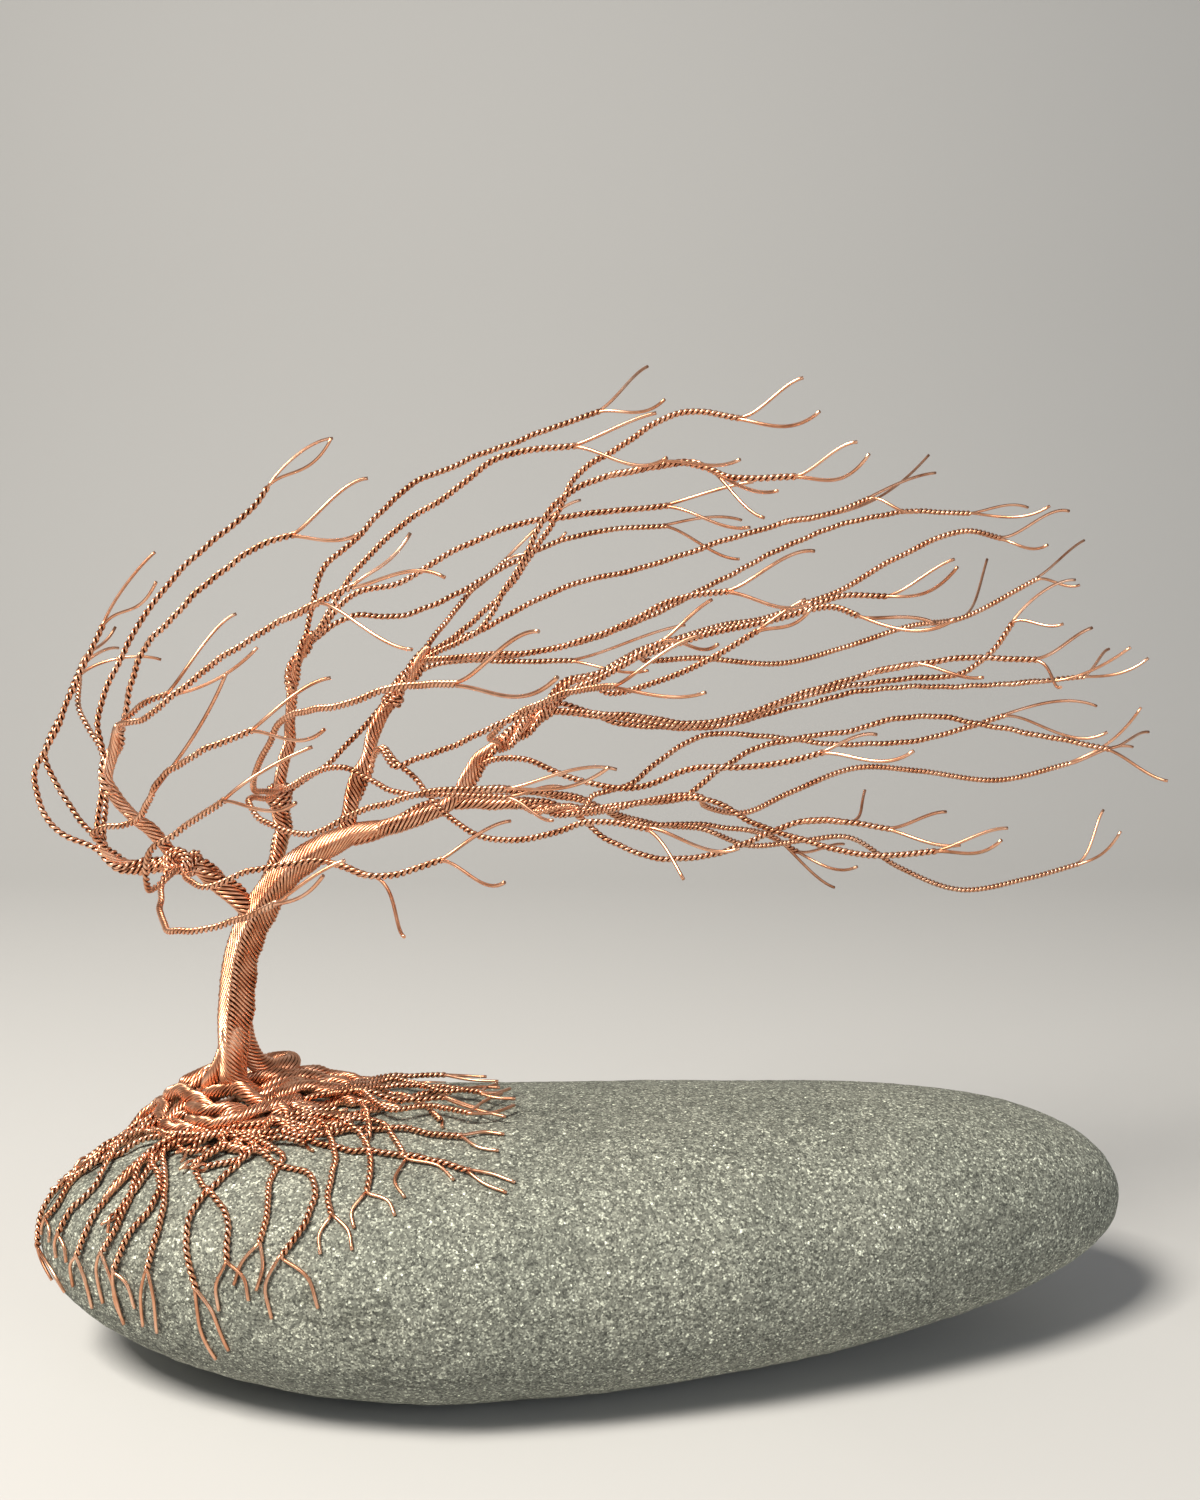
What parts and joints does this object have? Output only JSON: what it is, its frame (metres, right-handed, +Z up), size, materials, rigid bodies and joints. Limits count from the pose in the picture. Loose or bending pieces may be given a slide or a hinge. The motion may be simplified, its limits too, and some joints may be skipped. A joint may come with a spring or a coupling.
{
  "type": "wire tree sculpture",
  "caption": "Wind-swept tree of twisted copper wire, its roots gripping a smooth grey pebble that stands as its base",
  "frame": {"origin": "On the flat spot that the pebble rests on, below the middle of its length", "axes": "+Z up, +X along the pebble towards the swept branch ends, -Y is the show side"},
  "size_m": [0.1631, 0.1022, 0.1401],
  "materials": {
    "copper_wire": "bright bare copper, drawn and twisted",
    "stone": "matt, fine-grained grey pebble with pale and dark specks"
  },
  "bodies": {
    "root": {"pebble": "stone", "trunk": "copper_wire", "left_bough": "copper_wire", "left_rising_bough": "copper_wire", "upright_bough": "copper_wire", "centre_bough": "copper_wire", "right_bough": "copper_wire", "low_bough": "copper_wire", "left_twig_1": "copper_wire", "left_twig_2": "copper_wire", "left_twig_3": "copper_wire", "left_twig_4": "copper_wire", "left_twig_5": "copper_wire", "left_twig_6": "copper_wire", "left_twig_7": "copper_wire", "left_twig_8": "copper_wire", "left_twig_9": "copper_wire", "left_twig_10": "copper_wire", "left_twig_11": "copper_wire", "upright_twig_1": "copper_wire", "upright_twig_2": "copper_wire", "upright_twig_3": "copper_wire", "upright_twig_4": "copper_wire", "upright_twig_5": "copper_wire", "upright_twig_6": "copper_wire", "upright_twig_7": "copper_wire", "upright_twig_8": "copper_wire", "centre_twig_1": "copper_wire", "centre_twig_2": "copper_wire", "centre_twig_3": "copper_wire", "centre_twig_4": "copper_wire", "centre_twig_5": "copper_wire", "centre_twig_6": "copper_wire", "centre_twig_7": "copper_wire", "centre_twig_8": "copper_wire", "right_twig_1": "copper_wire", "right_twig_2": "copper_wire", "right_twig_3": "copper_wire", "right_twig_4": "copper_wire", "right_twig_5": "copper_wire", "right_twig_6": "copper_wire", "right_twig_7": "copper_wire", "right_twig_8": "copper_wire", "right_twig_9": "copper_wire", "right_twig_10": "copper_wire", "low_twig_1": "copper_wire", "low_twig_2": "copper_wire", "low_twig_3": "copper_wire", "low_twig_4": "copper_wire", "low_twig_5": "copper_wire", "low_twig_6": "copper_wire", "low_twig_7": "copper_wire", "left_end_roots": "copper_wire", "front_left_roots": "copper_wire", "front_roots": "copper_wire", "front_right_roots": "copper_wire", "right_roots": "copper_wire", "back_roots": "copper_wire", "root_nest": "copper_wire"}
  },
  "joints": []
}
